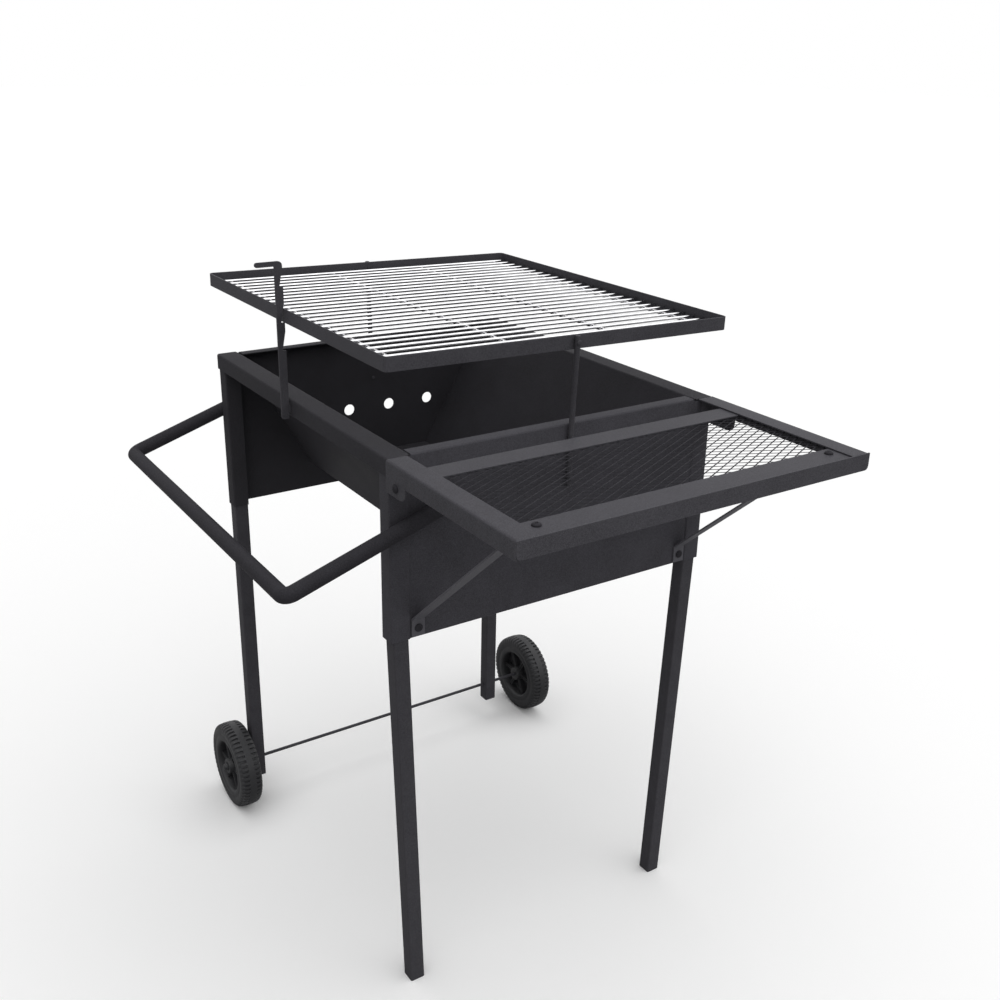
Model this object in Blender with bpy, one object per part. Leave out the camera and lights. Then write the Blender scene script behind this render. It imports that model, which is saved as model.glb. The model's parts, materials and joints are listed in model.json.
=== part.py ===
"""Charcoal grill: a folded sheet-metal firebox on four square-tube legs, with two wheels, a U-shaped
handle, a bolted side table of expanded mesh and a tilting cooking grid held up by a toothed prop.

Metres, +Z up. X runs from the handle side to the right, Y from the table side to the back. The pieces
are placed from the firebox's front left corner, and the whole is then set with the middle of its
bounding box on the floor at the origin.
"""

import math

import bmesh
import bpy
from mathutils import Matrix, Vector

# Firebox
BOX_WIDTH = 0.560
BOX_DEPTH = 0.600
RIM_HEIGHT = 0.876
PANEL_HEIGHT = 0.268
SHEET = 0.0015
SKIRT_DEPTH = 0.025
RAIL_WIDTH = 0.034
TROUGH_DEPTH = 0.2215
WALL_SLANT = math.radians(30.2)
LIP_WIDTH = 0.020
LIP_INSET = 0.0025
JOINED_LAP = 0.010
JOGGLE = 0.002
AIR_HOLE_RADIUS = 0.010
AIR_HOLE_PITCH = 0.081
AIR_HOLE_DROP = 0.1345
AIR_HOLE_COUNT = 4

# Leg sockets folded from the panels' ends
SOCKET_INSET = 0.002
SOCKET_WIDTH = 0.031
SOCKET_FOLD = 0.001

# Legs
LEG_SIZE = 0.024
LEG_WALL = 0.0015
LEG_CORNER = 0.0025
LEG_INSERT = 0.070
FRONT_LEG_LEAN = math.radians(2.0)
FRONT_LEG_SHIFT = 0.0027
LEG_BELOW_AXLE = 0.035

# Wheels and axle
WHEEL_RADIUS = 0.081
WHEEL_WIDTH = 0.041
WHEEL_GAP_LEFT = 0.0033
WHEEL_GAP_RIGHT = 0.053
AXLE_RADIUS = 0.003
LUG_COUNT = 54
LUG_DEPTH = 0.003
RIB_WIDTH = 0.012
SIDEWALL_DROP = 0.0065
SHOULDER_DROP = 0.0015
SHOULDER_WIDTH = 0.003
GROOVE_RISE = 0.002
DISH_RADIUS = 0.045
DISH_DRAFT = 0.002
DISH_SIDES = 32
POCKET_MARGIN = 0.003
HUB_RADIUS = 0.014
FACE_RECESS = 0.006
WEB = 0.003
SPOKE_COUNT = 6
SPOKE_WIDTH = 0.006
SPOKE_TURN = math.radians(2)
CAP_RADIUS = 0.008
CAP_LENGTH = 0.007
CAP_CUP = 0.005

# Handle
HANDLE_RADIUS = 0.011
HANDLE_WALL = 0.0015
HANDLE_DROP = 0.1024
HANDLE_SLOPE = math.radians(18.3)
HANDLE_REACH = 0.1520
HANDLE_ARM_INSIDE = 0.105
HANDLE_BEND = 0.0125
HANDLE_SIDES = 12

# Side table
TABLE_REACH = 0.2970
TABLE_OVERHANG = 0.002
TABLE_SHEET = 0.002
ARM_TOP = 0.031
ARM_SIDE = 0.025
EAR_LENGTH = 0.050
EAR_DEPTH = 0.044
EAR_BOLT_REACH = 0.027
EAR_BOLT_DROP = 0.031
EAR_CORNER = 0.012
EAR_END_CORNER = 0.003
INNER_RAIL_GAP = 0.0436
INNER_RAIL_WIDTH = 0.041
INNER_RAIL_SIDE = 0.012
FRONT_RAIL_WIDTH = 0.045
FRONT_RAIL_SIDE = 0.024
FRONT_RAIL_CORNER = 0.006
MESH_LONG_WAY = 0.046
MESH_SHORT_WAY = 0.026
MESH_SHEET = 0.0014
MESH_LAP = 0.0055
STRAND = 0.0026
LUG_PLATE_REACH = 0.040
LUG_PLATE_FOOT = 0.022
LUG_PLATE_SHORT = 0.003

# Stays
STAY_WIDTH = 0.020
STAY_SHEET = 0.0025
STAY_INSET = 0.044
STAY_ABOVE_EDGE = 0.002
STAY_BEND = 0.003
STAY_FOOT_LENGTH = 0.026
STAY_TOP_LENGTH = 0.018
STAY_TOP_BOLT = 0.2695

# Tilting grid
FRAME_OVERHANG = 0.0065
FRAME_HEIGHT = 0.020
FRAME_LEDGE = 0.020
FRAME_SHEET = 0.002
FRAME_CORNER = 0.007
FRAME_CORNER_STEPS = 4
FRAME_OFFSET = -0.0055
PIVOT_RISE = 0.1190
PIVOT_BELOW_TOP = 0.0095
TILT = math.radians(1.2)
POST_RADIUS = 0.004
POST_DROP = 0.095
POST_RIVET_DROPS = (0.020, 0.080)
POST_OFFSET = 0.0095
POST_SPLAY = math.radians(2.6)
POST_CHAMFER = 0.001
ROD_PITCH = 0.0224
ROD_RADIUS = 0.0023
CROSS_ROD_RADIUS = 0.0027
CROSS_ROD_SHARES = (0.0467, 0.3668, 0.6696, 0.9412)
ROD_SIDES = 6
ROD_END_GAP = 0.003
ROD_MARGIN = 0.018
WELD_SINK = 0.0006

# Toothed prop
PROP_BEHIND_MIDDLE = 0.004
PROP_WIDTH = 0.012
PROP_SHEET = 0.003
PROP_ABOVE_PIVOT = 0.0835
PROP_LEDGES = (-0.041, 0.0, 0.052)
PROP_TOOTH = 0.0056
PROP_SLOPE = 0.028
PROP_LEDGE_OVERLAP = 0.0016
FINGER_LENGTH = 0.029
FINGER_THICKNESS = 0.007
PROP_HOLE_RADIUS = 0.007
PROP_HOLE_DROP = 0.014
HOOK_LEG = 0.0042
HOOK_END_DROP = 0.030
HOOK_PLAY = 0.0018
HOOK_TOP_PLAY = 0.0025
HOOK_SHORT = 0.003
PROP_FOOT_ROUND = 0.004
PROP_EDGE_ROUND = 0.0015
PROP_HEEL_ROUND = 0.006

# Fasteners and fits
BOLT_RADIUS = 0.003
BOLT_HEAD_RADIUS = 0.006
BOLT_HEAD_HEIGHT = 0.0035
NUT_RADIUS = 0.0055
NUT_HEIGHT = 0.004
RIVET_RADIUS = 0.002
RIVET_HEAD_RADIUS = 0.0038
RIVET_HEAD_HEIGHT = 0.0016
BEND = 0.0015
GAP = 0.0003
MERGE = 0.00001
HOLE_CLEARANCE = 0.0004
HOLE_SIDES = 12
LARGE_HOLE_SIDES = 16
FASTENER_SIDES = 10
DRILL_REACH = 0.020

# Finishes: colour, roughness and metallic value
BLACK_PAINT = ((0.028, 0.028, 0.031), 0.45, 0.0)
BRIGHT_STEEL = ((0.62, 0.62, 0.62), 0.25, 1.0)
BLACK_PLASTIC = ((0.018, 0.018, 0.019), 0.55, 0.0)

# What follows from the sizes above
WALL_RUN = TROUGH_DEPTH * math.tan(WALL_SLANT)
SOCKET_DEPTH = LEG_SIZE + 2 * (SHEET + GAP)
LEG_INSET = SOCKET_INSET + SHEET + GAP
AXLE_INSET = SHEET + GAP + LEG_SIZE / 2
STAY_FOOT_DROP = PANEL_HEIGHT - STAY_ABOVE_EDGE
PIVOT_X = BOX_WIDTH / 2 + POST_OFFSET
FRAME_WIDTH = BOX_WIDTH + 2 * FRAME_OVERHANG
POST_RUN = (PIVOT_RISE + PIVOT_BELOW_TOP - FRAME_HEIGHT) * math.tan(POST_SPLAY)
FRAME_DEPTH = BOX_DEPTH + 2 * POST_RUN
PROP_PLACE = BOX_DEPTH / 2 + PROP_BEHIND_MIDDLE
PROP_TOP = PIVOT_RISE + PROP_ABOVE_PIVOT
HOLE_RADIUS = BOLT_RADIUS + HOLE_CLEARANCE
RIVET_HOLE_RADIUS = RIVET_RADIUS + HOLE_CLEARANCE
POST_STANDOFF = GAP + POST_RADIUS

for old in list(bpy.data.objects):
    bpy.data.objects.remove(old)

root = bpy.data.objects.new("grill", None)
bpy.context.scene.collection.objects.link(root)


# Tools that every piece uses

def new_part(name, mesh, finish):
    """A named object from a bmesh, with its faces turned out and its own material."""
    bmesh.ops.recalc_face_normals(mesh, faces=mesh.faces)
    data = bpy.data.meshes.new(name)
    mesh.to_mesh(data)
    mesh.free()
    part = bpy.data.objects.new(name, data)
    bpy.context.scene.collection.objects.link(part)
    part.parent = root
    if finish:
        colour, roughness, metallic = finish
        material = bpy.data.materials.new(name + "_finish")
        material.use_nodes = True
        shader = material.node_tree.nodes["Principled BSDF"]
        shader.inputs["Base Color"].default_value = (*colour, 1.0)
        shader.inputs["Roughness"].default_value = roughness
        shader.inputs["Metallic"].default_value = metallic
        data.materials.append(material)
    return part


def combine(part, tool, operation):
    """Cut the tool from the part, or join it on, and throw the tool away."""
    change = part.modifiers.new("combine", "BOOLEAN")
    change.operation = operation
    change.solver = "EXACT"
    change.object = tool
    bpy.context.view_layer.update()
    graph = bpy.context.evaluated_depsgraph_get()
    result = bpy.data.meshes.new_from_object(part.evaluated_get(graph))
    result.name = part.name
    part.modifiers.clear()
    part.data = result
    bpy.data.objects.remove(tool)


def round_over(part, angle=math.radians(35)):
    """Shade the round faces smooth and keep the folds crisp."""
    part.data.shade_smooth()
    part.data.set_sharp_from_angle(angle=angle)


def on_plane(plane, first, second, along):
    """A point whose two outline coordinates lie in the named plane."""
    if plane == "XZ":
        return Vector((first, along, second))
    if plane == "YZ":
        return Vector((along, first, second))
    return Vector((first, second, along))


def prism(name, outline, plane, start, end, finish, inner=None):
    """An outline drawn out between two places, as a solid or, with an inner outline, as a tube."""
    mesh = bmesh.new()
    rings = []
    for points in (outline, inner):
        if points is None:
            continue
        for along in (start, end):
            rings.append([mesh.verts.new(on_plane(plane, p[0], p[1], along)) for p in points])
    if inner is None:
        mesh.faces.new(rings[0])
        mesh.faces.new(rings[1])
        walls = [(rings[0], rings[1])]
    else:
        walls = [(rings[0], rings[1]), (rings[2], rings[3]), (rings[0], rings[2]), (rings[1], rings[3])]
    for near, far in walls:
        for i in range(len(near)):
            j = (i + 1) % len(near)
            mesh.faces.new((near[i], near[j], far[j], far[i]))
    return new_part(name, mesh, finish)


def block(low, high):
    """A plain cutter between two corners."""
    outline = [(low[0], low[1]), (high[0], low[1]), (high[0], high[1]), (low[0], high[1])]
    return prism("cutter", outline, "XY", low[2], high[2], None)


def turned(name, profile, axis, sides, finish, turn=0.0):
    """A profile of (radius, height) points turned about an axis; one that starts at radius 0 is solid."""
    mesh = bmesh.new()
    plane = {"X": "YZ", "Y": "XZ", "Z": "XY"}[axis]
    rings = []
    for radius, height in profile:
        count = 1 if radius == 0 else sides
        ring = []
        for k in range(count):
            angle = turn + 2 * math.pi * k / sides
            ring.append(mesh.verts.new(on_plane(plane, radius * math.cos(angle), radius * math.sin(angle),
                                                height)))
        rings.append(ring)
    pairs = list(zip(rings, rings[1:]))
    if profile[0][0] != 0:
        pairs.append((rings[-1], rings[0]))
    for near, far in pairs:
        for k in range(sides):
            corners = [near[k % len(near)], near[(k + 1) % len(near)], far[(k + 1) % len(far)],
                       far[k % len(far)]]
            mesh.faces.new(list(dict.fromkeys(corners)))
    return new_part(name, mesh, finish)


def drill(part, axis, place, radius, reach=DRILL_REACH, sides=HOLE_SIDES):
    """A round hole along an axis, given by its two other coordinates and how far it goes each way."""
    half_step = math.pi / sides
    outer = radius / math.cos(half_step)
    profile = [(0, -reach), (outer, -reach), (outer, reach), (0, reach)]
    tool = turned("drill", profile, axis, sides, None, turn=half_step)
    tool.location = on_plane({"X": "YZ", "Y": "XZ", "Z": "XY"}[axis], place[0], place[1], 0)
    combine(part, tool, "DIFFERENCE")


def folded(path, thickness, bend=BEND, steps=2):
    """The closed outline of a folded sheet. The path is its left face, and the sheet is to its right."""
    path = [Vector(point) for point in path]
    left, right = [], []
    for i, corner in enumerate(path):
        if i == 0 or i == len(path) - 1:
            way = (path[1] - path[0] if i == 0 else path[-1] - path[-2]).normalized()
            left.append(corner)
            right.append(corner + Vector((way.y, -way.x)) * thickness)
            continue
        way_in = (corner - path[i - 1]).normalized()
        way_out = (path[i + 1] - corner).normalized()
        turn = math.atan2(way_in.x * way_out.y - way_in.y * way_out.x, way_in.dot(way_out))
        side = 1 if turn > 0 else -1
        left_radius = bend if side > 0 else bend + thickness
        start = corner - way_in * left_radius * math.tan(abs(turn) / 2)
        centre = start + Vector((-way_in.y, way_in.x)) * side * left_radius
        for k in range(steps + 1):
            spoke = Matrix.Rotation(turn * k / steps, 2) @ (start - centre).normalized()
            left.append(centre + spoke * left_radius)
            right.append(centre + spoke * (left_radius + side * thickness))
    return left + right[::-1]


def rounded(corners, radius, steps=3):
    """A closed outline with its corners rounded; a single radius serves them all, or one for each."""
    corners = [Vector(corner) for corner in corners]
    radii = radius if isinstance(radius, (list, tuple)) else [radius] * len(corners)
    outline = []
    for i, corner in enumerate(corners):
        if radii[i] == 0:
            outline.append(corner)
            continue
        way_in = (corner - corners[i - 1]).normalized()
        way_out = (corners[(i + 1) % len(corners)] - corner).normalized()
        turn = math.atan2(way_in.x * way_out.y - way_in.y * way_out.x, way_in.dot(way_out))
        start = corner - way_in * radii[i] * math.tan(abs(turn) / 2)
        side = 1 if turn > 0 else -1
        centre = start + Vector((-way_in.y, way_in.x)) * side * radii[i]
        for k in range(steps + 1):
            outline.append(centre + Matrix.Rotation(turn * k / steps, 2) @ (start - centre))
    return outline


def rectangle(low, high):
    """The four corners of an upright rectangle, anticlockwise."""
    return [(low[0], low[1]), (high[0], low[1]), (high[0], high[1]), (low[0], high[1])]


def fastener(name, axis, grip_start, grip_end, head, tail, finish=BLACK_PAINT):
    """A bolt or rivet: a domed head before the grip's start, a shank, and a nut or set head after it."""
    shank, head_radius, head_height = head
    tail_radius, tail_height = tail
    profile = [(0, grip_start - GAP - head_height),
               (head_radius * 0.55, grip_start - GAP - head_height),
               (head_radius, grip_start - GAP - head_height * 0.35),
               (head_radius, grip_start - GAP),
               (shank, grip_start - GAP),
               (shank, grip_end + GAP),
               (tail_radius, grip_end + GAP),
               (tail_radius, grip_end + GAP + tail_height),
               (0, grip_end + GAP + tail_height)]
    part = turned(name, profile, axis, FASTENER_SIDES, finish)
    round_over(part)
    return part


BOLT_HEAD = (BOLT_RADIUS, BOLT_HEAD_RADIUS, BOLT_HEAD_HEIGHT)
BOLT_NUT = (NUT_RADIUS, NUT_HEIGHT)
RIVET_HEAD = (RIVET_RADIUS, RIVET_HEAD_RADIUS, RIVET_HEAD_HEIGHT)
RIVET_TAIL = (RIVET_HEAD_RADIUS * 0.8, RIVET_HEAD_HEIGHT * 0.7)


# Firebox: a trough folded from one sheet, with a rail and skirt along each end

def firebox_trough():
    floor_edge = RAIL_WIDTH + WALL_RUN
    path = [(0, -SKIRT_DEPTH), (0, 0), (RAIL_WIDTH, 0), (floor_edge, -TROUGH_DEPTH),
            (BOX_WIDTH - floor_edge, -TROUGH_DEPTH), (BOX_WIDTH - RAIL_WIDTH, 0), (BOX_WIDTH, 0),
            (BOX_WIDTH, -SKIRT_DEPTH)]
    part = prism("firebox_trough", folded(path, SHEET), "XZ", GAP, BOX_DEPTH - GAP, BLACK_PAINT)
    wall_inset = JOGGLE + SHEET + GAP
    for low, high in ((-1, wall_inset), (BOX_DEPTH - wall_inset, BOX_DEPTH + 1)):
        clear = block((RAIL_WIDTH - SHEET, low, -1), (BOX_WIDTH - RAIL_WIDTH + SHEET, high, 1))
        combine(part, clear, "DIFFERENCE")
    drill(part, "X", (PROP_PLACE, -PROP_HOLE_DROP), PROP_HOLE_RADIUS, sides=LARGE_HOLE_SIDES)
    part.location = (0, 0, RIM_HEIGHT)


# Front and back panels, whose ends are folded round into the leg sockets

def panel(name):
    inner = LEG_INSET + LEG_SIZE
    face = SOCKET_INSET + SOCKET_WIDTH
    half = [(inner, SOCKET_DEPTH), (SOCKET_INSET, SOCKET_DEPTH), (SOCKET_INSET, 0), (face - JOGGLE, 0),
            (face, JOGGLE)]
    path = half + [(BOX_WIDTH - x, y) for x, y in reversed(half)]
    path.reverse()
    top = -SHEET - BEND
    part = prism(name, folded(path, SHEET, bend=SOCKET_FOLD), "XY", -PANEL_HEIGHT, top, BLACK_PAINT)
    lip_path = [(JOGGLE, -JOINED_LAP), (JOGGLE, 0), (JOGGLE + LIP_WIDTH, 0)]
    lip_start = RAIL_WIDTH + LIP_INSET
    lip = prism("lip", folded(lip_path, SHEET), "YZ", lip_start, BOX_WIDTH - lip_start, None)
    combine(part, lip, "UNION")
    return part


def front_panel():
    part = panel("front_panel")
    for x in (STAY_INSET, BOX_WIDTH - STAY_INSET):
        drill(part, "Y", (x, STAY_FOOT_LENGTH / 2 - STAY_FOOT_DROP), HOLE_RADIUS)
    for drop in POST_RIVET_DROPS:
        drill(part, "Y", (PIVOT_X, -drop), RIVET_HOLE_RADIUS)
    part.location = (0, 0, RIM_HEIGHT)


def back_panel():
    part = panel("back_panel")
    for k in range(AIR_HOLE_COUNT):
        x = BOX_WIDTH / 2 + (k - (AIR_HOLE_COUNT - 1) / 2) * AIR_HOLE_PITCH
        drill(part, "Y", (x, -AIR_HOLE_DROP), AIR_HOLE_RADIUS, sides=LARGE_HOLE_SIDES)
    for drop in POST_RIVET_DROPS:
        drill(part, "Y", (BOX_WIDTH - PIVOT_X, -drop), RIVET_HOLE_RADIUS)
    part.rotation_euler = (0, 0, math.pi)
    part.location = (BOX_WIDTH, BOX_DEPTH, RIM_HEIGHT)


# Legs: square tubes, pushed up into the sockets

def leg(name, foot, top, lean):
    half = LEG_SIZE / 2
    inner = half - LEG_WALL
    outside = rounded(rectangle((-half, -half), (half, half)), LEG_CORNER, 2)
    inside = rounded(rectangle((-inner, -inner), (inner, inner)), LEG_CORNER - LEG_WALL, 2)
    part = prism(name, outside, "XY", foot, top, BLACK_PAINT, inner=inside)
    for vertex in part.data.vertices:
        vertex.co.x += (top - vertex.co.z) * math.tan(lean)
    round_over(part)
    return part


def legs():
    socket_bottom = RIM_HEIGHT - PANEL_HEIGHT
    top = socket_bottom + LEG_INSERT
    for side, name in ((1, "leg_front_left"), (-1, "leg_front_right")):
        part = leg(name, 0, top, side * FRONT_LEG_LEAN)
        inset = LEG_INSET + FRONT_LEG_SHIFT + LEG_SIZE / 2 - LEG_INSERT * math.tan(FRONT_LEG_LEAN)
        part.location = (inset if side > 0 else BOX_WIDTH - inset, AXLE_INSET, 0)
    for side, name in ((1, "leg_back_left"), (-1, "leg_back_right")):
        part = leg(name, WHEEL_RADIUS - LEG_BELOW_AXLE, top, 0)
        drill(part, "X", (0, WHEEL_RADIUS), AXLE_RADIUS + HOLE_CLEARANCE)
        inset = LEG_INSET + LEG_SIZE / 2
        part.location = (inset if side > 0 else BOX_WIDTH - inset, BOX_DEPTH - AXLE_INSET, 0)


# Wheels: one moulding each, with a spoked face and lugs on both shoulders

def wheel(name, centre_x):
    half = WHEEL_WIDTH / 2
    face = half - FACE_RECESS
    tread = [(WHEEL_RADIUS - SIDEWALL_DROP, 0, -half),
             (WHEEL_RADIUS - SHOULDER_DROP, LUG_DEPTH, SHOULDER_WIDTH - half),
             (WHEEL_RADIUS, LUG_DEPTH, -RIB_WIDTH / 2 - GROOVE_RISE),
             (WHEEL_RADIUS, 0, -RIB_WIDTH / 2)]
    tread += [(radius, depth, -x) for radius, depth, x in reversed(tread)]
    mesh = bmesh.new()
    rings = []
    for radius, depth, x in tread:
        ring = []
        for k in range(2 * LUG_COUNT):
            angle = math.pi * k / LUG_COUNT
            here = radius - depth * (k % 2)
            ring.append(mesh.verts.new((x, here * math.cos(angle), here * math.sin(angle))))
        rings.append(ring)
    mesh.faces.new(rings[0])
    mesh.faces.new(rings[-1])
    for near, far in zip(rings, rings[1:]):
        for k in range(len(near)):
            j = (k + 1) % len(near)
            mesh.faces.new((near[k], near[j], far[j], far[k]))
    part = new_part(name, mesh, BLACK_PLASTIC)
    for side in (-1, 1):
        dish = [(HUB_RADIUS, side * face), (DISH_RADIUS, side * face),
                (DISH_RADIUS + DISH_DRAFT, side * WHEEL_WIDTH), (HUB_RADIUS, side * WHEEL_WIDTH)]
        combine(part, turned("dish", dish, "X", DISH_SIDES, None), "DIFFERENCE")
    pocket_inner = HUB_RADIUS + POCKET_MARGIN
    pocket_outer = DISH_RADIUS - POCKET_MARGIN
    pockets = bmesh.new()
    for k in range(SPOKE_COUNT):
        middle = 2 * math.pi * (k + 0.5) / SPOKE_COUNT + SPOKE_TURN
        outline = []
        for radius, steps in ((pocket_inner, 2), (pocket_outer, 5)):
            spread = math.pi / SPOKE_COUNT - math.asin(SPOKE_WIDTH / 2 / radius)
            arc = [middle - spread + 2 * spread * i / (steps - 1) for i in range(steps)]
            if radius == pocket_outer:
                arc.reverse()
            outline += [(radius * math.cos(angle), radius * math.sin(angle)) for angle in arc]
        for side in (-1, 1):
            rings = []
            for x in (side * WEB / 2, side * WHEEL_WIDTH):
                rings.append([pockets.verts.new((x, *point)) for point in outline])
                pockets.faces.new(rings[-1])
            for i in range(len(outline)):
                j = (i + 1) % len(outline)
                pockets.faces.new((rings[0][i], rings[0][j], rings[1][j], rings[1][i]))
    combine(part, new_part("pockets", pockets, None), "DIFFERENCE")
    drill(part, "X", (0, 0), AXLE_RADIUS + HOLE_CLEARANCE, WHEEL_WIDTH)
    round_over(part, math.radians(25))
    part.location = (centre_x, BOX_DEPTH - AXLE_INSET, WHEEL_RADIUS)


def running_gear():
    left_outer = -WHEEL_GAP_LEFT - WHEEL_WIDTH
    right_outer = BOX_WIDTH + WHEEL_GAP_RIGHT + WHEEL_WIDTH
    wheel("wheel_left", left_outer + WHEEL_WIDTH / 2)
    wheel("wheel_right", right_outer - WHEEL_WIDTH / 2)
    start = left_outer - CAP_CUP
    end = right_outer + CAP_CUP
    profile = [(0, start), (AXLE_RADIUS, start), (AXLE_RADIUS, end), (0, end)]
    part = turned("axle", profile, "X", HOLE_SIDES, BLACK_PAINT)
    round_over(part)
    part.location = (0, BOX_DEPTH - AXLE_INSET, WHEEL_RADIUS)
    bore = AXLE_RADIUS + GAP
    cup = [(0, CAP_CUP + GAP), (bore, CAP_CUP + GAP), (bore, 0), (CAP_RADIUS, 0),
           (CAP_RADIUS, CAP_LENGTH * 0.5), (CAP_RADIUS * 0.6, CAP_LENGTH), (0, CAP_LENGTH)]
    for side, outer, name in ((-1, left_outer, "axle_cap_left"), (1, right_outer, "axle_cap_right")):
        profile = [(radius, side * height) for radius, height in cup]
        part = turned(name, profile, "X", HOLE_SIDES, BLACK_PLASTIC)
        round_over(part)
        part.location = (outer + side * GAP, BOX_DEPTH - AXLE_INSET, WHEEL_RADIUS)


# Handle: a tube bent to a U, with its arms along the front and back panels

def handle():
    slope = math.tan(HANDLE_SLOPE)
    standoff = HANDLE_RADIUS + GAP
    far = BOX_DEPTH + standoff
    corners = [(HANDLE_ARM_INSIDE, -standoff), (-HANDLE_REACH, -standoff), (-HANDLE_REACH, far),
               (HANDLE_ARM_INSIDE, far)]
    plan = rounded(corners, [0, HANDLE_BEND, HANDLE_BEND, 0], 5)
    mesh = bmesh.new()
    rings = []
    for i, point in enumerate(plan):
        before = plan[i - 1] if i else point
        after = plan[i + 1] if i + 1 < len(plan) else point
        tangent = Vector((after.x - before.x, after.y - before.y, (after.x - before.x) * slope)).normalized()
        upward = Vector((-slope, 0, 1)).normalized()
        across = upward.cross(tangent).normalized()
        centre = Vector((point.x, point.y, point.x * slope))
        for radius in (HANDLE_RADIUS, HANDLE_RADIUS - HANDLE_WALL):
            ring = []
            for k in range(HANDLE_SIDES):
                angle = 2 * math.pi * k / HANDLE_SIDES
                spoke = across * math.cos(angle) + upward * math.sin(angle)
                ring.append(mesh.verts.new(centre + spoke * radius))
            rings.append(ring)
    outside, inside = rings[0::2], rings[1::2]
    pairs = list(zip(outside, outside[1:])) + list(zip(inside, inside[1:]))
    pairs += [(outside[0], inside[0]), (outside[-1], inside[-1])]
    for near, far in pairs:
        for k in range(HANDLE_SIDES):
            j = (k + 1) % HANDLE_SIDES
            mesh.faces.new((near[k], near[j], far[j], far[k]))
    part = new_part("handle", mesh, BLACK_PAINT)
    round_over(part)
    part.location = (0, 0, RIM_HEIGHT - HANDLE_DROP)


# Side table: two folded arms, two rails, an expanded mesh and what holds it

def table_arm(side, name):
    """An arm of angle section over the rails, with a deeper ear at the firebox for its bolt."""
    outer = -TABLE_OVERHANG
    path = [(outer, -ARM_SIDE), (outer, 0), (outer + ARM_TOP, 0)]
    part = prism(name, folded(path, TABLE_SHEET), "XZ", -TABLE_REACH, -GAP, BLACK_PAINT)
    ear_outline = rounded(rectangle((-EAR_LENGTH, -EAR_DEPTH), (-GAP, -TABLE_SHEET * 2)),
                          [EAR_CORNER, EAR_END_CORNER, 0, 0], 3)
    ear = prism("ear", ear_outline, "YZ", outer, outer + TABLE_SHEET, None)
    combine(part, ear, "UNION")
    drill(part, "X", (-EAR_BOLT_REACH, -EAR_BOLT_DROP), HOLE_RADIUS)
    if side < 0:
        mirror_in_x(part)
    part.location = (0 if side > 0 else BOX_WIDTH, 0, RIM_HEIGHT)


def mirror_in_x(part):
    """Turn a left-hand piece into the right-hand one."""
    part.data.transform(Matrix.Scale(-1, 4, (1, 0, 0)))
    part.data.flip_normals()


def table_lug(side, name):
    """A folded bracket on the socket's face, inside the arm's ear."""
    start = -TABLE_OVERHANG + TABLE_SHEET + GAP
    path = [(start, -LUG_PLATE_REACH), (start, -GAP), (start + LUG_PLATE_FOOT, -GAP)]
    part = prism(name, folded(path, TABLE_SHEET), "XY", LUG_PLATE_SHORT - EAR_DEPTH, -TABLE_SHEET * 2 - GAP,
                 BLACK_PAINT)
    drill(part, "X", (-EAR_BOLT_REACH, -EAR_BOLT_DROP), HOLE_RADIUS)
    if side < 0:
        mirror_in_x(part)
    part.location = (0 if side > 0 else BOX_WIDTH, 0, RIM_HEIGHT)


def table_rails():
    top = -TABLE_SHEET - GAP
    inset = TABLE_SHEET + BEND - TABLE_OVERHANG
    span = (inset, BOX_WIDTH - inset)
    inner_front = -INNER_RAIL_GAP - INNER_RAIL_WIDTH
    path = [(inner_front, top), (-INNER_RAIL_GAP, top), (-INNER_RAIL_GAP, top - INNER_RAIL_SIDE)]
    part = prism("table_rail_inner", folded(path, TABLE_SHEET), "YZ", *span, BLACK_PAINT)
    part.location = (0, 0, RIM_HEIGHT)

    front = -TABLE_REACH - GAP - TABLE_SHEET
    plate = prism("table_rail_front", rounded(
        rectangle((-TABLE_OVERHANG, -FRONT_RAIL_SIDE), (BOX_WIDTH + TABLE_OVERHANG, 0)),
        [FRONT_RAIL_CORNER, FRONT_RAIL_CORNER, 0, 0], 3), "XZ", front, front + TABLE_SHEET, BLACK_PAINT)
    path = [(front, top - JOINED_LAP), (front, top), (front + FRONT_RAIL_WIDTH, top)]
    flange = prism("flange", folded(path, TABLE_SHEET), "YZ", *span, None)
    combine(plate, flange, "UNION")
    for x in (STAY_INSET, BOX_WIDTH - STAY_INSET):
        drill(plate, "Z", (x, -STAY_TOP_BOLT), HOLE_RADIUS)
    plate.location = (0, 0, RIM_HEIGHT)


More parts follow.
